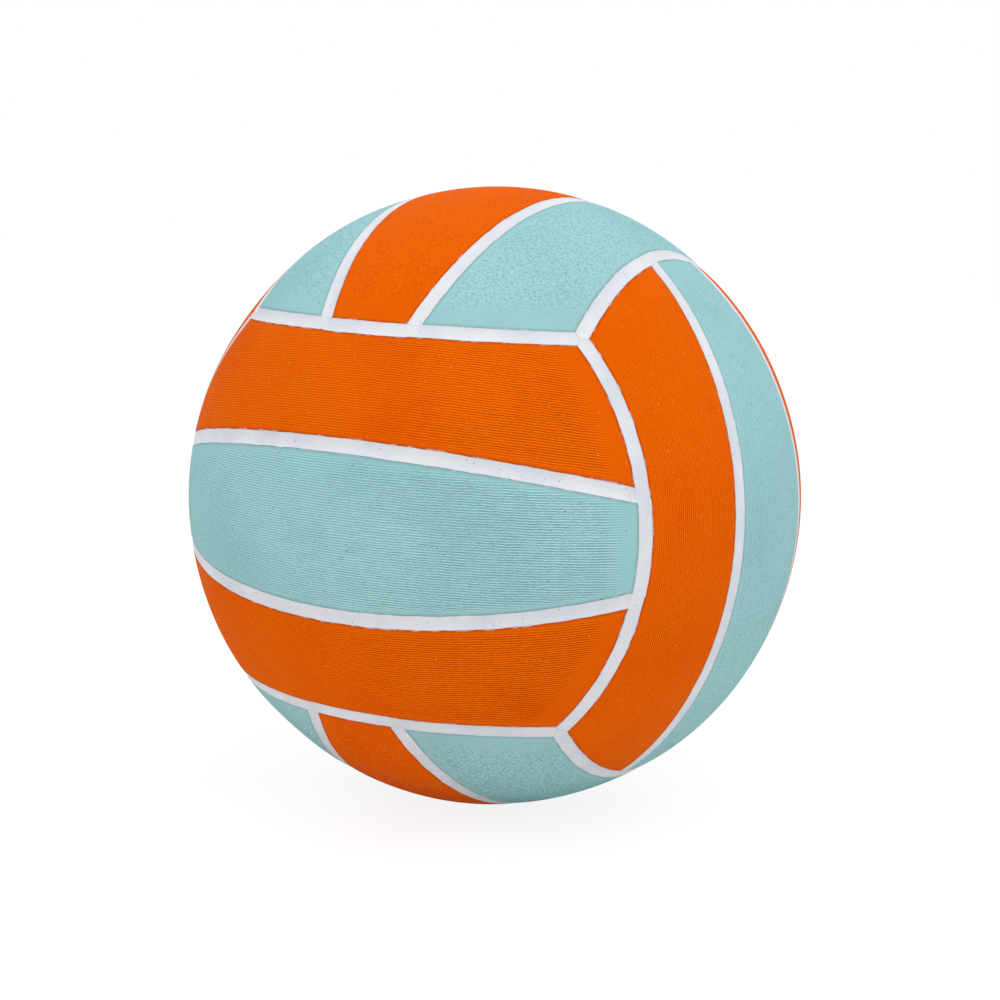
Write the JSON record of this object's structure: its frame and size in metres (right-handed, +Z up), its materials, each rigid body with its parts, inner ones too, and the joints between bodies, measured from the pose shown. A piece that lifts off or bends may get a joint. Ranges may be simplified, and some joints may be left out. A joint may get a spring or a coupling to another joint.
{
  "type": "water polo ball",
  "caption": "Inflated rubber water polo ball with long grip panels, recessed white seam strips between them and a needle valve.",
  "frame": {"origin": "centre of the ball", "axes": "-Y out of the front group of panels, +Y out of the valve on the back, +X right, +Z up"},
  "size_m": [0.21, 0.2098, 0.21],
  "materials": {
    "orange_cover": "matte grip",
    "teal_cover": "matte grip",
    "seam_rubber": "matte",
    "bladder_rubber": "matte",
    "winding_yarn": "wound yarn",
    "carcass_rubber": "matte",
    "valve_rubber": "matte",
    "valve_core_rubber": "satin"
  },
  "bodies": {
    "root": {"bladder": "bladder_rubber", "winding": "winding_yarn", "carcass": "carcass_rubber", "valve_boot": "valve_rubber", "valve_core": "valve_core_rubber", "front_middle_panel": "teal_cover", "front_upper_panel": "orange_cover", "front_lower_panel": "orange_cover", "back_middle_panel": "teal_cover", "back_upper_panel": "orange_cover", "back_lower_panel": "orange_cover", "right_middle_panel": "teal_cover", "right_front_panel": "orange_cover", "right_back_panel": "orange_cover", "left_middle_panel": "teal_cover", "left_front_panel": "orange_cover", "left_back_panel": "orange_cover", "top_middle_panel": "orange_cover", "top_left_panel": "teal_cover", "top_right_panel": "teal_cover", "bottom_middle_panel": "orange_cover", "bottom_left_panel": "teal_cover", "bottom_right_panel": "teal_cover", "front_upper_outer_strip": "seam_rubber", "front_upper_inner_strip": "seam_rubber", "front_lower_outer_strip": "seam_rubber", "front_lower_inner_strip": "seam_rubber", "back_upper_outer_strip": "seam_rubber", "back_upper_inner_strip": "seam_rubber", "back_lower_outer_strip": "seam_rubber", "back_lower_inner_strip": "seam_rubber", "right_front_outer_strip": "seam_rubber", "right_front_inner_strip": "seam_rubber", "right_back_outer_strip": "seam_rubber", "right_back_inner_strip": "seam_rubber", "left_front_outer_strip": "seam_rubber", "left_front_inner_strip": "seam_rubber", "left_back_outer_strip": "seam_rubber", "left_back_inner_strip": "seam_rubber", "top_left_outer_strip": "seam_rubber", "top_left_inner_strip": "seam_rubber", "top_right_outer_strip": "seam_rubber", "top_right_inner_strip": "seam_rubber", "bottom_left_outer_strip": "seam_rubber", "bottom_left_inner_strip": "seam_rubber", "bottom_right_outer_strip": "seam_rubber", "bottom_right_inner_strip": "seam_rubber"}
  },
  "joints": []
}
